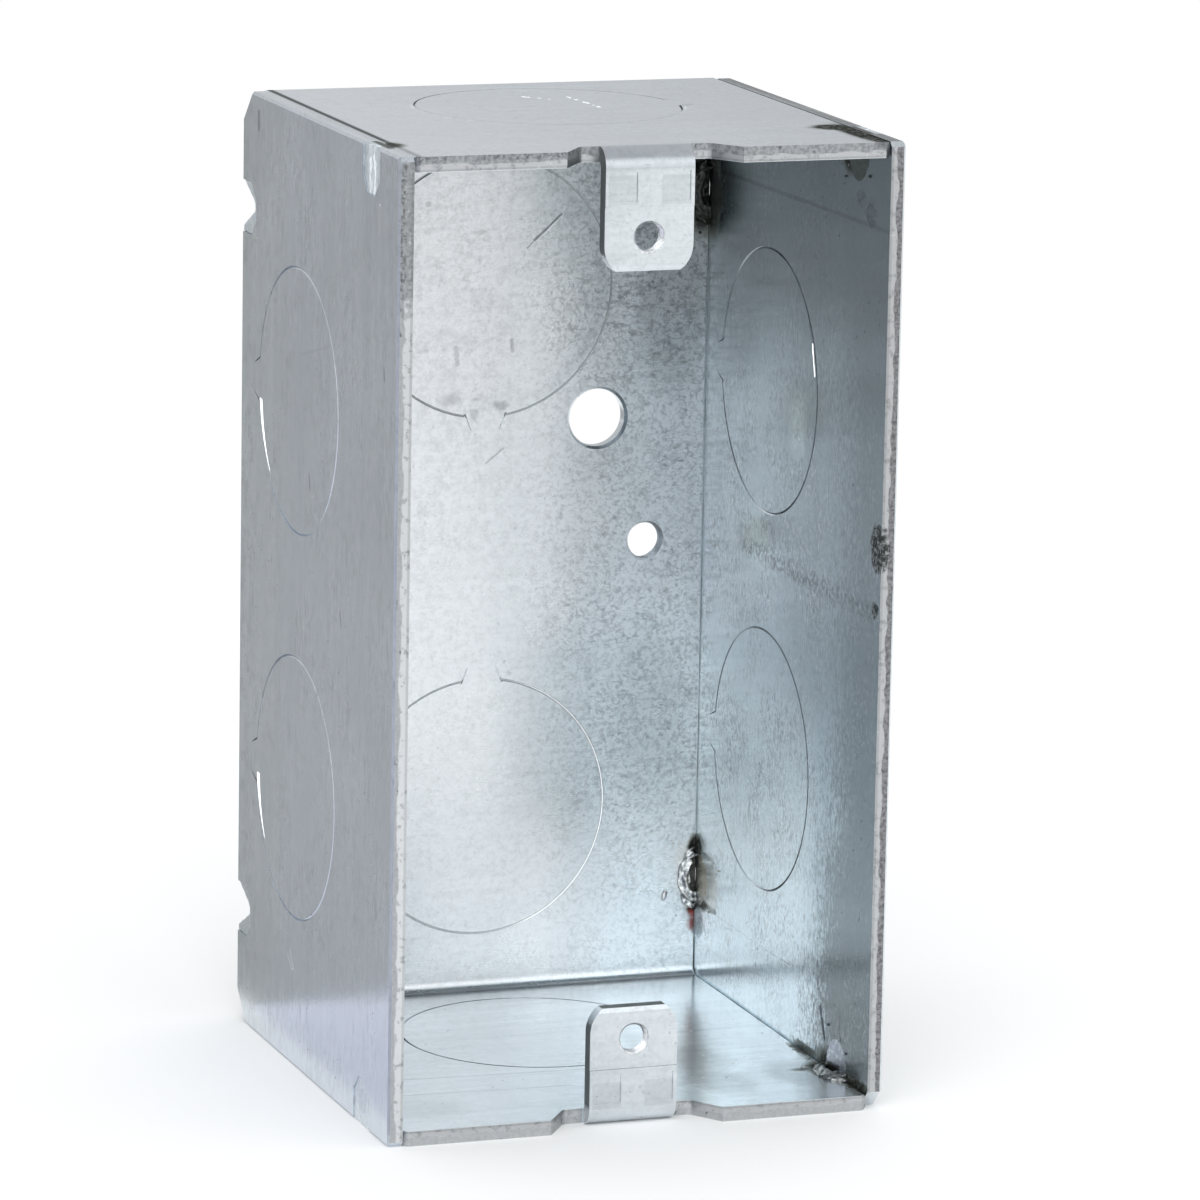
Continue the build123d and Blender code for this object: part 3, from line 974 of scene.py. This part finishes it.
def wrap_finish():
    """The whole finish of the folded wrap."""
    material, place, (x, y, z), normal = start_material("galvanised_wrap")
    width = maths("ABSOLUTE", x)
    near_back = fade(y, inner_back - 1.2, inner_back - 0.8)
    on_back = both(facing(normal, FORWARD), near_back)
    upwards = facing(normal, UPWARD)
    on_top = both(upwards, fade(z, 60, 80))
    on_bottom = both(upwards, fade(z, 3, 2))
    pebble = fade(on_back, 0, 1, 0.004, 0.008)
    colour, rough, height = zinc_skin(place, WRAP_GRAIN, pebble)
    colour = top_wall(x, on_top, colour)
    colour = tint(on_back, colour, back_wall(place, x, z, colour))
    colour = tint(on_bottom, colour, bottom_wall(place, x, y, colour))
    colour = wrap_crystals(place, x, z, on_back, colour)
    colour, punched, shaded_ear_cut = ear_marks(normal, width, y, z, colour)
    colour, marks, soot = wrap_marks(place, colour)
    colour, lines, lit = wrap_knockouts(place, x, z, width, near_back, on_top, colour)
    colour, seam, gap = wrap_seams(place, x, y, z, width, on_top, colour)
    colour, rough = wrap_edges(place, normal, width, y, z, colour, rough)

    fold = both(fade(y, 24.2, 24.5), fade(z, 2.8, 2.5))
    dull = either(seam, shaded_ear_cut)
    for mask, strength in ((dull, 0.35), (either(soot, gap), 0.6), (on_back, 0.08), (fold, 0.08)):
        rough = total(rough, both(mask, strength))
    rims = either(*[disc_rim(place, *disc) for disc in WRAP_DISCS])
    height = maths("SUBTRACT", maths("SUBTRACT", height, rims), both(marks, SCRATCH_DEPTH))
    lumps = fade(grain(place, 0.7, detail=3), 0.3, 0.7, 0, SOOT_LUMP)
    height = total(height, both(soot, on_top, lumps))
    broken_edge = both(near_back, fade(width, side - 0.3, side - 0.24))
    shallow = both(near_back, lines, 0.9)
    flat = turned(either(broken_edge, shallow), bump(height), FORWARD)
    lit = either(lit, both(punched, facing(normal, LEFTWARD), 0.6))
    return finish_material(material, colour, rough, turned(lit, flat, SPRUNG_WAY), "X", 0.3)


# %% [markdown]
# The side plates carry a fine upright grain. The right plate shows its inside, with shade
# painted towards the top and along the open front, chipped at the edge and tinted round the
# welds. The left plate shows its outside, with highlights painted on the lips where the
# knockouts have sprung.

# %% Places of the marks on the side plates
left = -side - WALL
SIDE_DISC = 20.65
PLATE_DISCS = [(DISC_DEPTH, box_top / 2 + SIDE_DISC), (DISC_DEPTH, box_top / 2 - SIDE_DISC)]
RIGHT_SCRATCHES = [
    ((side, 25, 91.7), (side, -26.8, 92.4), 0.45, 0.45),
    ((side, 24, 9.7), (side, -4, 9.7), 0.16, 0.2),
    ((side, 24.8, 15.9), (side, 20, 15.4), 0.5, 0.35),
    ((side, 24.8, 10.2), (side, 19, 10), 0.6, 0.7),
    ((side, -6.5, 78.4), (side, -7.6, 74.8), 0.14, 0.5),
]
RIGHT_GLINTS = [
    ((side, -4.8, 80.2), (side, -6.2, 77.4), 0.22, 0.6),
    ((side, -6.2, 77.4), (side, -7, 74.2), 0.36, 1),
    ((side, -2.6, 67), (side, -3.2, 66.6), 0.4, 0.7),
    ((side, -13, 7.5), (side, -14.5, 4.5), 0.5, 0.5),
    ((side, -18.6, 8), (side, -19, 4.8), 0.3, 0.6),
]
RIGHT_RUBBED = [((side, -2.6, 67.6), (9, 2.4, 2.8)), ((side, 8.5, 54), (9, 3.4, 3))]
RIGHT_CHIPS = [
    ((side, -26, 59.4), (1, 2, 2.5), 0.9), ((side, -25.6, 52.9), (1, 0.9, 0.8), 0.8),
    ((side, -22, 93.4), (1, 1.6, 1.2), 0.22), ((side, -19.1, 94.8), (1, 1.2, 0.9), 0.22),
]
RIGHT_SOOT = [
    ((side, 24.9, 16.1), (1, 1.3, 1.2), 0.9), ((side, 24, 9.9), (1, 2.4, 0.7), 0.8),
    ((side, 24.6, 89.1), (1, 2.2, 4.6), 1), ((side, -16, 98.6), (1, 2.6, 1.6), 0.9),
    ((side, -17, 1.9), (1, 4.2, 1.8), 0.95), ((side, -22, 1.9), (1, 5.5, 0.6), 0.9),
    ((side, -9.5, 2), (1, 4, 0.4), 0.6),
]
LEFT_SCRATCHES = [
    ((left, 21.2, 99.7), (left, 21.2, 98), 0.7, 0.5),
    ((left, 5.8, 76.4), (left, -5.7, 79.3), 0.2, 0.12),
    ((left, 2.2, 64.4), (left, 1.8, 63), 0.4, 0.4),
    ((left, -9, 52), (left, -9.4, 50.6), 0.4, 0.35),
    ((left, -22.8, 79.6), (left, -23, 78.6), 0.5, 0.4),
]
LEFT_GLINTS = [
    ((left, 7.4, 12.3), (left, 6.2, 10.7), 0.3, 0.6),
    ((left, 8.3, 11.6), (left, 6.8, 10.4), 0.25, 0.5),
    ((left, -20.9, 95.6), (left, -20.9, 93.2), 0.8, 0.35),
    ((left, 21.6, 86.2), (left, 21.9, 84), 0.4, 0.3),
]

# %% [markdown]
# Both plates were cut from the same sheet, so they share their skin, the rims of the
# knockouts and the two bands of the front edge. Only the face that shows is different.

# %% What both plates share
PLATE_GRAIN = (1, 1, 0.05)
PLATE_PEBBLE = 0.008
PLATE_SPREAD = 0.6


def plate_discs(face):
    """Middle and direction of a plate's knockouts, on one of its faces."""
    return [((face, *middle), (1, 0, 0)) for middle in PLATE_DISCS]


def plate_skin(place, face):
    """Zinc with the drawn rims of the knockouts."""
    colour, rough, height = zinc_skin(place, PLATE_GRAIN, PLATE_PEBBLE)
    rims = either(*[disc_rim(place, *disc) for disc in plate_discs(face)])
    return colour, rough, maths("SUBTRACT", height, rims)


def plate_edge(place, normal, x, y, colour, rough, limit, fresh, dark, light):
    """The sheared front edge of a plate."""
    at_edge = both(facing(normal, FORWARD), fade(y, front + 0.2, front + 0.08))
    share = fade(maths("ABSOLUTE", x), side, side + WALL)
    return sheared_edge(place, share, colour, rough, at_edge, limit, fresh, dark, light)


# %% [markdown]
# Inside, the right plate has a patina, with shade painted over it. Shade is painted
# towards the top, through the middle and in a band along the open front, with a ragged and
# speckled limit, and light is painted low down at the back. Two patches are rubbed pale.
# The welds have left soot and straw colours, and a scuff runs across.

# %% Finish of the right plate
CHIP_DEPTH = 0.06
RIGHT_SCRATCH_DEPTH = 0.015
SCUFF = ((side, 12, 52.4), (side, -27, 52.4))
HEAT_STAIN = ((side, 21.9, 12.6), (1, 3.4, 2.6))
DULLED = ((side, 24.6, 7.8), (1, 1.6, 1.8))


def patina_and_painted_shade(place, y, z, colour):
    """Patina and painted shade inside the right plate: shade painted at the top, through the middle and
    along the front, and light painted low down.
    """
    colour = tint(0.3, colour, TEAL)
    # Painted light low down at the back.
    painted_light = both(fade(z, 48, 32), fade(z, 6, 20, 0.15, 0.85), fade(y, -14, -4))
    colour = tint(painted_light, colour, LIT_TEAL)
    sway = ragged(place, 9, 2.4)
    sway_y = add_node("SeparateXYZ", {"Vector": sway}).outputs[1]
    speckle = fade(grain(place, 0.4, (1, 1, 0.5), detail=4, roughness=0.7), 0.2, 0.8, -6, 6)
    ahead = maths("SUBTRACT", total(sway_y, speckle), fade(z, 6, 44, -9.5, -15.5))
    hard = both(fade(ahead, 4, -6), fade(z, 92, 70))
    hard = both(hard, fade(z, 8, 20, 0.9, 0.64), fade(z, 30, 42, 1, 0.7))
    soft = both(fade(sway_y, 8, -9), fade(z, 28, 42))
    middle = both(fade(z, 34, 48), fade(z, 86, 74))
    high = both(fade(z, 70, 87), fade(sway_y, 8, -8, 0.78, 0.71))
    # Painted shade along the front, through the middle and towards the top, with a ragged limit.
    for mask, strength in ((hard, 1), (soft, 0.36), (middle, 0.22), (high, 1)):
        colour = tint(both(mask, strength), colour, GREEN_SHADE)
    rubbed = either(*[spot(sway, centre, radii, 0.6) for centre, radii in RIGHT_RUBBED])
    return tint(both(rubbed, 0.5), colour, PALE_GREEN)


def right_plate_marks(place, inside, uneven, colour):
    """Knockout lines painted with shade, scratches, the scuff and the heat stain, with the mask of the
    scratches.
    """
    lines = either(*[shear_line(place, *disc) for disc in plate_discs(side)])
    # Painted shade in the shear lines.
    colour = tint(both(lines, 0.3), colour, SHADE)
    marks = both(inside, scratches(ragged(place, 1.2, 0.3), RIGHT_SCRATCHES))
    colour = tint(marks, colour, SHADE)
    specks = fade(grain(place, 0.4, detail=2), 0.46, 0.58)
    scuff = both(inside, stroke(uneven, *SCUFF, width=2), specks, 0.55)
    colour = tint(scuff, colour, SHADE)
    heat = spot(uneven, *HEAT_STAIN, soft=0.35)
    return tint(both(heat, 0.5), colour, STRAW), marks


def right_plate_finish():
    """The whole finish of the right plate."""
    material, place, (x, y, z), normal = start_material("galvanised_right_plate")
    colour, rough, height = plate_skin(place, side)
    inside = facing(normal, LEFTWARD)
    # Patina, with painted shade and painted light, on the inside face.
    colour = tint(inside, colour, patina_and_painted_shade(place, y, z, colour))
    drawn = vectors("MULTIPLY", place, (1, 1, 0.5))
    patchy = fade(grain(place, 6, detail=3), 0.35, 0.65, 0.12, 0.44)
    dim = both(fade(z, 66, 88, 1, 0.3), fade(y, -8, -16, 1, 0.5))
    colour = crystals(drawn, colour, both(patchy, dim), 0.5)
    colour, marks = right_plate_marks(place, inside, ragged(place, 1.4, 0.6), colour)
    colour, soot = sooty(place, colour, RIGHT_SOOT, inside)
    # Painted highlights.
    glints = both(inside, scratches(ragged(place, 1, 0.2), RIGHT_GLINTS))
    colour = tint(glints, colour, BRIGHT)
    edge_colours = (BURNISHED, RIM_DARK, RIM_LIGHT)
    colour, rough = plate_edge(place, normal, x, y, colour, rough, 0.46, *edge_colours)
    on_rim = both(facing(normal, UPWARD), fade(z, box_top - 0.2, box_top - 0.05))
    colour = tint(on_rim, colour, torn_metal(place, RIM_LIGHT, TORN_LIGHT))
    chips = spots(ragged(place, 1, 0.7), RIGHT_CHIPS, 0.14)
    flakes = tint(fade(grain(place, 0.4, detail=3), 0.42, 0.66), SOOT_AND_SHADE, TORN_LIGHT)
    colour = tint(chips, colour, flakes)
    rough = total(rough, both(either(soot, chips, on_rim, spot(place, *DULLED)), 0.5))
    deep = fade(chips, 0.4, 0.8, 0, -CHIP_DEPTH)
    height = total(height, deep, both(marks, -RIGHT_SCRATCH_DEPTH))
    standing = turned(glints, bump(height), SPRUNG_WAY)
    return finish_material(material, colour, rough, standing, "Z", PLATE_SPREAD)


# %% [markdown]
# The left plate is bluish and clean, a little stained along its back edge. Beside its ties
# each knockout has sprung out, and a crescent of highlight is painted there, with a few
# more painted highlights. Shade is painted along the rounded front corner. The front edge
# is pale, and crusty near the top.

# %% Finish of the left plate
GLINT_HEIGHT = 0.06
CORNER_WAY = (-0.707, -0.707, 0)
LIPS = [(61.8, 69.4, 13.5), (21.8, 28.8, 13.3)]


def sprung_lip(place, y, z, middle, low, high, reach):
    """Painted highlight in a crescent where a knockout has sprung out of the left plate beside its tie."""
    wide = fade(z, low, high, 0.08, 0.5)
    off = apart(ring_distance(place, middle, (1, 0, 0)), reach)
    band = fade(maths("DIVIDE", off, wide), 1.1, 0.8)
    behind = fade(y, middle[1] + 6, middle[1] + 8)
    return both(band, behind, fade(z, high + 0.3, high - 0.1), fade(z, low - 0.2, low + 0.8))


def left_plate_finish():
    """The whole finish of the left plate."""
    material, place, (x, y, z), normal = start_material("galvanised_left_plate")
    colour, rough, height = plate_skin(place, left)
    outside = facing(normal, LEFTWARD)
    colour = tint(fade(y, 22, 8, 0.02, 0.15), colour, COOL)
    drawn = vectors("MULTIPLY", place, (1, 1, 0.3))
    patchy = fade(grain(place, 7, detail=4), 0.35, 0.65, 0.05, 0.2)
    colour = crystals(drawn, colour, patchy, 0.6)
    stains = fade(grain(place, 2.5, detail=5, roughness=0.7), 0.5, 0.64)
    colour = tint(both(fade(y, 16, 25), stains, 0.16), colour, SHADE)
    fine = ragged(place, 2, 0.12)
    marks = both(outside, scratches(fine, LEFT_SCRATCHES))
    colour = tint(marks, colour, SHADE)
    discs = zip(PLATE_DISCS, LIPS)
    lips = either(*[sprung_lip(place, y, z, (-side, *middle), *lip) for middle, lip in discs])
    lips = both(outside, lips)
    glints = both(outside, scratches(fine, LEFT_GLINTS))
    # Painted highlights on the sprung lips and the glints.
    colour = tint(either(lips, glints), colour, BRIGHT)
    wavy = fade(grain(place, 1), 0.3, 0.7, -1.5, 1.5)
    crusty = fade(total(z, wavy), 85, 88.5)
    # Painted shade along the rounded front corner.
    corner = both(facing(normal, CORNER_WAY), fade(y, front + 0.5, front + 0.4))
    colour = tint(both(corner, 0.4), colour, SHADE)
    fresh = tint(crusty, EDGE_PALE, torn_metal(place, TORN_DARK, TORN_LIGHT))
    dark = tint(crusty, TORN_LIGHT, RIM_DARK)
    light = tint(crusty, BURNISHED, TORN_LIGHT)
    colour, rough = plate_edge(place, normal, x, y, colour, rough, 0.6, fresh, dark, light)
    height = total(height, both(marks, -SCRATCH_DEPTH), both(glints, GLINT_HEIGHT))
    sprung = turned(lips, bump(height), SPRUNG_WAY)
    return finish_material(material, colour, rough, sprung, "Z", PLATE_SPREAD)


# %% [markdown]
# Weld metal is crusted with dark scale along the corner, where the arc burnt, with bright
# grains where the scale has come off. The dome on the plate stays smooth: straw and blue
# low in the box, dark green grey at the top. Outside it was wiped and stays pale.

# %% Finish of the weld metal
HEAT_BLUE = (0.42, 0.45, 0.50, 1)
DEEP = (0.15, 0.165, 0.15, 1)
WELD_BUMP = 0.008


def weld_colour(y, z, width, crusted, scale, smooth):
    """Crust in the corner and smooth metal on the dome, darker at the top of the box."""
    high = fade(z, 60, 80)
    core = fade(width, side - 1, side - 0.5)
    ridge = tint(fade(scale, 0.34, 0.54), TORN_DARK, EDGE_PALE)
    hole = tint(fade(scale, 0.42, 0.6), SOOT_AND_SHADE, TORN_LIGHT)
    crust = tint(both(high, 0.93), tint(core, ridge, hole), SOOT_AND_SHADE)
    crust = tint(fade(y, 0, -10, 0, 0.6), crust, ASH_AND_SHADE)
    smooth = tint(fade(y, 0, -10), smooth, HEAT_BLUE)
    smooth = tint(high, smooth, DEEP)
    return tint(crusted, smooth, crust), high


def weld_finish():
    """The whole finish of the welds and the spatter."""
    material, place, (x, y, z), source_normal = start_material("weld_metal")
    width = maths("ABSOLUTE", x)
    outside = fade(width, side + 0.5, side + 0.9)
    from_ends = maths("MINIMUM", maths("SUBTRACT", z, WALL), maths("SUBTRACT", box_top - WALL, z))
    from_wall = maths("MINIMUM", maths("SUBTRACT", inner_back, y), from_ends)
    scale = grain(place, 0.55, detail=4, roughness=0.65)
    on_plate = fade(width, side - 0.7, side - 0.3, 0, 0.4)
    crusted = fade(total(maths("SUBTRACT", from_wall, scale), on_plate), 0.75, 0.35)
    smooth = tint(fade(grain(place, 2.4, detail=2), 0.42, 0.6), STRAW, ZINC_LIGHT)
    inner, high = weld_colour(y, z, width, crusted, scale, smooth)
    pale = tint(fade(scale, 0.3, 0.7), ZINC_DARK, ZINC_LIGHT)
    colour = tint(outside, inner, pale)
    rough = total(fade(scale, 0.35, 0.7, 0.42, 0.22), both(high, 0.15))
    normal = bump(both(grain(place, 0.3, detail=3), WELD_BUMP))
    smear = grain(place, 0.7, (1, 1, 0.4), detail=4, roughness=0.7)
    wiped = both(
        outside, fade(apart(y, END_WELD / MM), 2.2, 0.8), fade(z, 40, 60, 0.25, 0.8),
        fade(smear, 0.36, 0.6, 0.35, 1),
    )
    dome = both(maths("SUBTRACT", 1, crusted), facing(source_normal, LEFTWARD, 0.1, 0.4))
    flat = turned(both(dome, fade(x, 0, 1)), normal, LEFTWARD)
    return finish_material(material, colour, rough, turned(wiped, flat, SPRUNG_WAY), "X", 0)


# %% [markdown]
# The threads were cut after the zinc was on, so they are brighter and finely lined. All
# finishes are then put on: a new piece gets its material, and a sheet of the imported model
# has its slots filled.

# %% Finish of the threads, and all finishes put on
THREAD_GREY = (0.55, 0.58, 0.60, 1)
THREAD_BUMP = 0.006


def thread_finish():
    """The whole finish of the threads."""
    material, place, _, _ = start_material("tapped_zinc")
    cut = grain(place, 0.25, (1, 3, 1), detail=3)
    colour = tint(fade(cut, 0.3, 0.7), THREAD_GREY, BRIGHT)
    rough = fade(cut, 0.3, 0.7, 0.3, 0.16)
    return finish_material(material, colour, rough, bump(both(cut, THREAD_BUMP)), "Y", 0.2)


def dress(pieces, material):
    """Gives new pieces their finish."""
    for piece in pieces:
        piece.data.materials.clear()
        piece.data.materials.append(material)


def put_on(node, material):
    """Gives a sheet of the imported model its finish."""
    for slot in nodes[node].material_slots:
        slot.material = material


put_on("folded_wrap", wrap_finish())
put_on("left_side_plate", left_plate_finish())
put_on("right_side_plate", right_plate_finish())
dress([right_weld_metal, left_weld_metal, spatter], weld_finish())
dress(threads, thread_finish())
print("finishes", sorted(material.name for material in bpy.data.materials))

# %% [markdown]
# The stage is a pale floor, wide enough to fill the picture, so its far edge never shows.
# Round the box it is matt paper, which takes the shadow. Further off it shows plain white
# to the eye and in reflections, like a studio sweep.

# %% Floor
FLOOR_SIZE = 8
PAPER_DARK, PAPER_LIGHT = (0.90, 0.90, 0.90, 1), (0.93, 0.93, 0.93, 1)


def floor_finish():
    """Pale paper that turns white far from the box."""
    material, place, _, _ = start_material("pale_floor")
    tree = material.node_tree
    colour = tint(grain(place, 120), PAPER_DARK, PAPER_LIGHT)
    paper = add_node("BsdfPrincipled", {"Base Color": colour, "Roughness": 0.9})
    white = add_node("Emission", {"Color": (1, 1, 1, 1), "Strength": 1}, tree)
    path = add_node("LightPath", {}, tree).outputs
    shown = either(path["Is Camera Ray"], path["Is Glossy Ray"], path["Is Transmission Ray"])
    seen = both(fade(length(place), 150, 500), shown)
    mixed = add_node("MixShader", {0: seen, 1: paper.outputs[0], 2: white.outputs[0]})
    add_node("OutputMaterial", {"Surface": mixed.outputs[0]})
    return material


clear_selection()
bpy.ops.mesh.primitive_plane_add(size=FLOOR_SIZE, location=(0, 0, 0))
floor = bpy.context.object
floor.name = "floor"
floor.data.materials.append(floor_finish())
print("floor", FLOOR_SIZE, "m wide")

# %% [markdown]
# One large soft box hangs above. It is hidden from reflections, so that it doesn't show
# as a hard shape in the zinc.

# %% Soft box
def soft_lamp(name, place, target, width, height, radiance):
    """A soft box of a given brightness, seen face on, that aims at a target."""
    data = bpy.data.lights.new(name, "AREA")
    data.shape = "RECTANGLE"
    data.size = width
    data.size_y = height
    data.energy = radiance * math.pi * width * height
    lamp = bpy.data.objects.new(name, data)
    bpy.context.scene.collection.objects.link(lamp)
    lamp.location = place
    aim = Vector(target) - Vector(place)
    lamp.rotation_euler = aim.to_track_quat("-Z", "Y").to_euler()
    return lamp


box_middle = Vector((0, 0, TOP / 2))
top_box = soft_lamp("top_box", (0.05, -0.1, 0.9), box_middle, 1.3, 1.3, 1)
top_box.visible_glossy = False
print("lamp", top_box.name, round(top_box.data.energy, 2), "W")

# %% [markdown]
# Bright metal takes its tone from what stands round it. Three matt cards lie on the floor
# to the left of the box, from behind it to the front, and only reflections see them. Each
# is given by two corners.

# %% Cards for the reflections
CARD_LIFT = 0.4 * MM


def reflection_card(name, low, high, grey, blue=1):
    """A matt card that lies on the floor and only shows in reflections."""
    material, place, _, _ = start_material(name)
    card_colour = Vector((grey, grey, grey * blue, 1))
    colour = tint(grain(place, 60), card_colour * 0.96, card_colour)
    shader = add_node("BsdfDiffuse", {"Color": colour})
    add_node("OutputMaterial", {"Surface": shader.outputs[0]})
    clear_selection()
    bpy.ops.mesh.primitive_plane_add(size=1)
    card = bpy.context.object
    card.name = name
    card.scale = (high[0] - low[0], high[1] - low[1], 1)
    card.location = ((low[0] + high[0]) / 2, (low[1] + high[1]) / 2, CARD_LIFT)
    card.data.materials.append(material)
    card.visible_camera = False
    card.visible_shadow = False
    card.visible_diffuse = False
    print(name, "reflects", grey)


reflection_card("grey_card", (-0.9, 0.029), (-0.03, 0.9), 0.38)
reflection_card("foot_card", (-0.9, -0.25), (-0.03, 0.029), 0.70, 1.1)
reflection_card("dark_card", (-0.9, -1.3), (0.02, -0.30), 0.10)

# %% [markdown]
# The rest of the studio is a pale sky with one brighter window, low in front and a little
# to the left. It is drawn by the angle between a direction and the window's own.

# %% Sky
SKY_LEVEL, WINDOW_LEVEL = 0.66, 1.4
SKY_COLOUR = (0.97, 0.985, 1, 1)
WINDOW = Vector((-0.35, -0.9, 0.3)).normalized()

world = bpy.data.worlds.new("studio")
bpy.context.scene.world = world
world.use_nodes = True
world.node_tree.nodes.clear()
way = add_node("TexCoord", {}, world.node_tree).outputs["Generated"]
window = fade(dot(way, WINDOW), 0.6, 0.9)
strength = maths("ADD", SKY_LEVEL, both(window, WINDOW_LEVEL))
sky = add_node("Background", {"Color": SKY_COLOUR, "Strength": strength})
add_node("OutputWorld", {"Surface": sky.outputs[0]})
print("sky", SKY_LEVEL, "window", WINDOW_LEVEL)

# %% [markdown]
# The camera stands where the photographer stood: in front, to the left and a little above,
# far off with a long lens. Two angles give its direction, the third its roll.

# %% Camera
AZIMUTH, ELEVATION, ROLL = -19.616, 11.593, 1.031
DISTANCE = 740.98 * MM
AIM = Vector((4.495, 0, 49.95)) * MM
SENSOR, LENS = 36, 211.07

azimuth, elevation, roll = (math.radians(angle) for angle in (AZIMUTH, ELEVATION, ROLL))
level = Vector((math.cos(azimuth), math.sin(azimuth), 0))
outward = Vector((math.sin(azimuth), -math.cos(azimuth), 0))
backward = math.cos(elevation) * outward + Vector((0, 0, math.sin(elevation)))
upward = backward.cross(level)
right = math.cos(roll) * level + math.sin(roll) * upward
above = -math.sin(roll) * level + math.cos(roll) * upward
camera_data = bpy.data.cameras.new("camera")
camera_data.sensor_width = SENSOR
camera_data.lens = LENS
camera_data.clip_start = 0.01
camera = bpy.data.objects.new("camera", camera_data)
bpy.context.scene.collection.objects.link(camera)
turn = Matrix((right, above, backward)).transposed().to_4x4()
camera.matrix_world = Matrix.Translation(AIM + backward * DISTANCE) @ turn
bpy.context.scene.camera = camera
bpy.context.scene.view_settings.view_transform = "Standard"
print("camera", [round(value, 3) for value in camera.matrix_world.translation])
